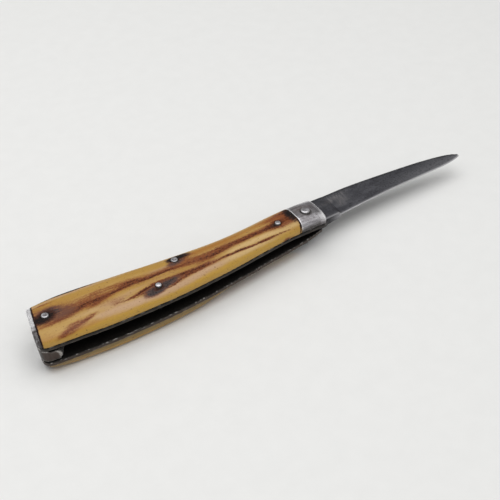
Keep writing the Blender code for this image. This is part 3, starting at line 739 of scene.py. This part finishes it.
def dress_bolster(node, paint):
    """A bolster with a painted highlight on its front, a stained crown, soiling and painted shade on its
    walls, and soiling and painted shadow round the pivot's head.
    """
    piece = worn_copy(node, grain=0.16, passes=5)
    places = places_of(piece)
    fall = fall_of(places)
    below_pivot = PIVOT[1] - places[:, 1]
    # Painted highlight: the front's rounding and its front edge are painted bright.
    front_rim_highlight = 0.5 * ramp(places[:, 0], *FRONT_RIM_HIGHLIGHT) * ramp(below_pivot, 1.0, 3.0)
    front_line_highlight = ramp(places[:, 0], *FRONT_LINE_HIGHLIGHT) * (0.3 + 0.6 * ramp(below_pivot, 0.0, 3.0))
    wear_and_highlight = np.maximum.reduce((edge_wear(piece, 0.02), front_rim_highlight, front_line_highlight))
    # Grime and painted shadow: a dark ring round the pivot's head, set below its centre.
    reach = reach_of(places, SHADED_SEAM_CENTRE)
    seam = ring(reach, SHADED_SEAM_REACH, SHADED_SEAM_WIDTH)
    pits = patch_mask(places[:, :2], BOLSTER_PITS)
    # Grime and painted shade down the walls, less under the front's painted highlight.
    walls = ramp(fall, *GRIMY_SHADED_WALL_START) * (1 - 0.8 * front_rim_highlight)
    store(piece, "edge", wear_and_highlight * (1 - ramp(fall, *BRIGHT_WALL_END)) * ramp(reach, *BRIGHT_OUTSIDE))
    store(piece, "stain", patch_mask(places[:, :2], BOLSTER_STAINS))
    store(piece, "grime_and_shade", np.maximum.reduce((walls, seam, pits)))
    roughen(piece, fine=0.02, coarse=0.03)
    thin_out(piece, 0.5)
    dress(piece, node, paint)


def dress_cap(node, paint):
    """A butt cap, hammered and pitted, brighter toward the knife's back and darker toward the slot."""
    piece = worn_copy(node, grain=0.12, passes=12)
    places = places_of(piece)
    level = places[:, 1] + 1.6 * waves(places, (2.5, 1.5, 1.5), seed=12)
    # Brighter toward the knife's back, darker toward the slot.
    bare = ramp(level, *CAP_BRIGHTER) * ramp(waves(places, (2.0, 1.2, 1.2), seed=11), -0.8, -0.2)
    grime_and_shade = ramp(level, *CAP_DARKER) * ramp(waves(places, (1.0, 1.0, 1.0), seed=8), -0.9, -0.2)
    store(piece, "edge", np.maximum(0.5 * edge_wear(piece, 0.008) * (1 - 0.9 * grime_and_shade), bare))
    store(piece, "stain", ramp(waves(places, (1.4, 1.4, 1.4), seed=7), 0.1, 0.5) * (1 - bare))
    store(piece, "grime_and_shade", grime_and_shade)
    roughen(piece, fine=0.06, coarse=0.04)
    thin_out(piece, 0.5)
    dress(piece, node, paint)


def stand_proud(piece, height):
    """Moves the edge along the slot's mouth out by the height."""
    places = places_of(piece)
    columns = np.round(places[:, 0]).astype(int)
    for column in np.unique(columns):
        inside = columns == column
        depth = places[inside, 1] - places[inside, 1].min()
        places[inside, 1] -= height * ramp(depth, 2.5, 0.5)
    move_to(piece, places)


def dress_liner(node, paint):
    """A liner, darkened inside the slot as painted shade and soiled where it meets its scale, with bright
    specks and bare at the butt.
    """
    look = LINER_LOOKS[node]
    piece = worn_copy(node, grain=0.16, passes=3)
    places = places_of(piece)
    depth = (np.abs(places[:, 2] - MIDDLE) - half_slot(places[:, 0])) / LINER_THICKNESS
    bare = ramp(from_butt(places), *BARE_BUTT)
    specks = ramp(waves(places, look["waves"], seed=9), *look["specks"])
    store(piece, "edge", np.maximum(look["shine"] * edge_wear(piece, 0.02), bare) * specks)
    store(piece, "stain", look["brown"] * ramp(depth, *LINER_BROWN))
    if look["proud"]:
        stand_proud(piece, look["proud"])
    seam = ramp(depth, *look["seam"])
    # Painted shade: faces turned into the slot are darkened.
    inside = ramp(-np.sign(places[:, 2] - MIDDLE) * normals_of(piece)[:, 2], 0.4, 0.8)
    store(piece, "grime_and_shade", np.maximum(seam, inside) * (1 - bare))
    roughen(piece, fine=0.02, coarse=0.03)
    thin_out(piece, 0.2)
    dress(piece, node, paint)


def dress_spring(paint):
    """The back spring: a pale-rimmed foot in the slot's mouth, and a hollow for the folded blade's edge."""
    piece = worn_copy("back_spring", grain=0.18, passes=10)
    places = places_of(piece)
    across = (places[:, 2] - MIDDLE) / half_slot(places[:, 0])
    along = from_butt(places)
    foot = ramp(places[:, 0], *FOOT_X) * ramp(places[:, 1], *FOOT_Y)
    face = foot * ramp(-normals_of(piece)[:, 1], *SLOT_FACING)
    skewed = np.clip((across + FOOT_SKEW) / (1 + FOOT_SKEW), -1, 1)
    round_end = FOOT_REACH - FOOT_ROUND * (1 - np.sqrt(1 - skewed**2))
    end_rim = ramp(along, round_end - 0.7, round_end - 0.3)
    rim = np.maximum.reduce((end_rim, ramp(np.abs(across), 0.7, 0.88), ramp(along, 0.8, 0.4)))
    bare = 0.5 * ramp(along, *BARE_BUTT) * ramp(waves(places, (2.4, 1.8, 1.8), seed=6), -0.6, 0.5)
    store(piece, "edge", np.maximum.reduce((0.3 * edge_wear(piece, 0.03), 0.8 * face * rim, bare)))
    store(piece, "stain", face * (1 - rim))
    # Painted shade: the foot's faces that do not face out of the slot are darkened.
    store(piece, "grime_and_shade", foot * (1 - face))
    roughen(piece, fine=0.02, coarse=0.02)
    hollow = ramp(places[:, 0], *FOLD_FADE_IN) * ramp(places[:, 0], *FOLD_FADE_OUT)
    push_out(piece, -FOLD_ROOM * ramp(-normals_of(piece)[:, 1], *SLOT_FACING) * hollow)
    thin_out(piece, 0.3)
    dress(piece, "back_spring", paint)


def dress_pin(node, paint):
    """A pin with flattened heads, which are dished or stained on some pins, and with side walls darkened as
    painted shadow.
    """
    piece = worn_copy(node, grain=0.11, passes=3)
    places = places_of(piece)
    upright = np.abs(normals_of(piece)[:, 2])
    head = upright**4
    heights = 0.03 * waves(places, (0.9, 0.9, 0.9), seed=3)
    if node == "pivot_pin":
        heights -= PIVOT_DEPTH * head * ring(reach_of(places, PIVOT), 0.0, PIVOT_REACH)
    else:
        heights -= HEAD_DEPTH * head
    for centre in DISHED_PINS:
        heights -= DISH_DEPTH * head * ring(reach_of(places, centre), 0.0, DISH_REACH)
    stain = patch_mask(places[:, :2], PIN_STAINS)
    store(piece, "edge", edge_wear(piece, 0.02) * (1 - 0.8 * stain))
    store(piece, "stain", stain)
    # Painted shadow: the heads' side walls are darkened.
    store(piece, "grime_and_shade", ramp(upright, 0.75, 0.4))
    push_out(piece, heights)
    thin_out(piece, 0.3)
    dress(piece, node, paint)


def dress_blade(paint):
    """The blade, bright along its edge, with a painted highlight along the ricasso's lower edge, paler to the
    tip, scuffed, and with painted shade on the kick.
    """
    piece = copy_of("blade")
    (_, heel_y, _, _), (line_end, line_y, _, _) = HEEL_HIGHLIGHT
    corners = places_of(piece)
    edge = corners[corners[:, 1] < HIGHEST_EDGE]
    columns = np.round(edge[:, 0], 1)
    edge_x = np.unique(columns)
    edge_y = np.array([edge[columns == x, 1].min() for x in edge_x])

    def from_edge(x, y):
        return y - np.interp(x, edge_x, edge_y)

    def longest_at(place):
        near_edge = 0 <= from_edge(place.x, place.y) < FINE_REACH
        near_line = place.x < line_end and abs(place.y - line_y) < FINE_REACH
        return FINE_STEP if near_edge or near_line else COARSE_STEP

    split_long_edges(piece, longest_at)
    places = places_of(piece)
    depth = from_edge(places[:, 0], places[:, 1])
    ground = 0.9 * ring(depth, 0.0, GROUND_WIDTH) * (places[:, 0] > line_end)
    # Painted shade: the kick below the heel's line is darkened, stored as the dull mask.
    kick = ramp(heel_y - places[:, 1], 0.0, 0.6) * (places[:, 0] < line_end)
    # The ground mask holds the real ground edge and the painted highlight along the ricasso's lower edge.
    store(piece, "ground", np.maximum(ground, run_mask(places[:, :2], [HEEL_HIGHLIGHT])))
    store(piece, "paler", 0.7 * ramp(places[:, 0], *PALER_TIP) * ramp(depth, 6.0, 1.0))
    store(piece, "scuffed", patch_mask(places[:, :2], BLADE_SCUFFS))
    store(piece, "dull", 0.8 * kick)
    piece.data.shade_smooth()
    piece.data.set_sharp_from_angle(angle=math.radians(SHARP_ANGLE))
    dress(piece, "blade", paint)


def dress_knife():
    stag = stag_paint()
    worn_iron = iron_paint("worn_iron", gloss=0.22, dull=linear(148, 144, 148), bright=linear(184, 181, 186),
                           rim=linear(240, 239, 241), rust=linear(78, 64, 58), grime_and_shade=linear(52, 47, 43))
    dark_iron = iron_paint("dark_iron", gloss=0.3, dull=linear(58, 54, 50), bright=linear(78, 73, 68),
                           rim=linear(176, 172, 168), rust=linear(70, 58, 52), grime_and_shade=linear(22, 20, 18))
    pin_steel = iron_paint("pin_steel", gloss=0.4, dull=linear(176, 174, 178), bright=linear(214, 213, 218),
                           rim=linear(240, 239, 241), rust=linear(58, 52, 51), grime_and_shade=linear(52, 47, 43))
    for side in ("front", "rear"):
        dress_scale(side + "_scale", stag)
        dress_bolster(side + "_bolster", worn_iron)
        dress_cap(side + "_butt_cap", worn_iron)
        dress_liner(side + "_liner", dark_iron)
        dress_pin(side + "_fore_rivet", pin_steel)
        dress_pin(side + "_mid_rivet", pin_steel)
    dress_spring(dark_iron)
    for pin in ("pivot_pin", "spring_pin", "butt_pin"):
        dress_pin(pin, pin_steel)
    dress_blade(blade_paint())


def set_camera():
    camera = bpy.data.objects.new("camera", bpy.data.cameras.new("camera"))
    bpy.context.scene.collection.objects.link(camera)
    azimuth = math.radians(CAMERA_AZIMUTH)
    elevation = math.radians(CAMERA_ELEVATION)
    level = math.cos(elevation)
    sight = Vector((-math.sin(azimuth) * level, math.cos(azimuth) * level, -math.sin(elevation)))
    camera.location = Vector(CAMERA_PLACE) * MM
    camera.rotation_euler = sight.to_track_quat("-Z", "Y").to_euler()
    camera.data.lens = LENS
    camera.data.clip_start = 0.01
    bpy.context.scene.camera = camera


def lay_floor():
    reach = FLOOR_REACH
    corners = [(-reach, -reach, 0), (reach, -reach, 0), (reach, reach, 0), (-reach, reach, 0)]
    mesh = bpy.data.meshes.new("floor")
    mesh.from_pydata(corners, [], [(0, 1, 2, 3)])
    floor = bpy.data.objects.new("floor", mesh)
    bpy.context.scene.collection.objects.link(floor)
    floor.data.materials.append(floor_paint())


def light_studio():
    """A soft lamp overhead, and a sky that is bright above and to the front right, and dim elsewhere."""
    lamp = bpy.data.objects.new("overhead", bpy.data.lights.new("overhead", "AREA"))
    lamp.location = LAMP_PLACE
    lamp.rotation_euler = (-lamp.location).to_track_quat("-Z", "Y").to_euler()
    lamp.data.size = LAMP_SIZE
    lamp.data.energy = LAMP_POWER
    bpy.context.scene.collection.objects.link(lamp)
    world = bpy.data.worlds.new("studio")
    bpy.context.scene.world = world
    world.use_nodes = True
    tree = world.node_tree
    sky = tree.nodes["Background"]
    sky.inputs["Color"].default_value = SKY_COLOUR
    direction = tree.nodes.new("ShaderNodeTexCoord")
    nearness = tree.nodes.new("ShaderNodeVectorMath")
    nearness.operation = "DOT_PRODUCT"
    nearness.inputs[1].default_value = SKY_BRIGHT_SIDE
    fade = tree.nodes.new("ShaderNodeMapRange")
    fade.interpolation_type = "SMOOTHSTEP"
    for socket, value in SKY_FADE.items():
        fade.inputs[socket].default_value = value
    tree.links.new(direction.outputs["Generated"], nearness.inputs[0])
    tree.links.new(nearness.outputs["Value"], fade.inputs["Value"])
    tree.links.new(fade.outputs["Result"], sky.inputs["Strength"])
    bpy.context.scene.view_settings.view_transform = "Standard"


set_camera()
lay_floor()
light_studio()
dress_knife()
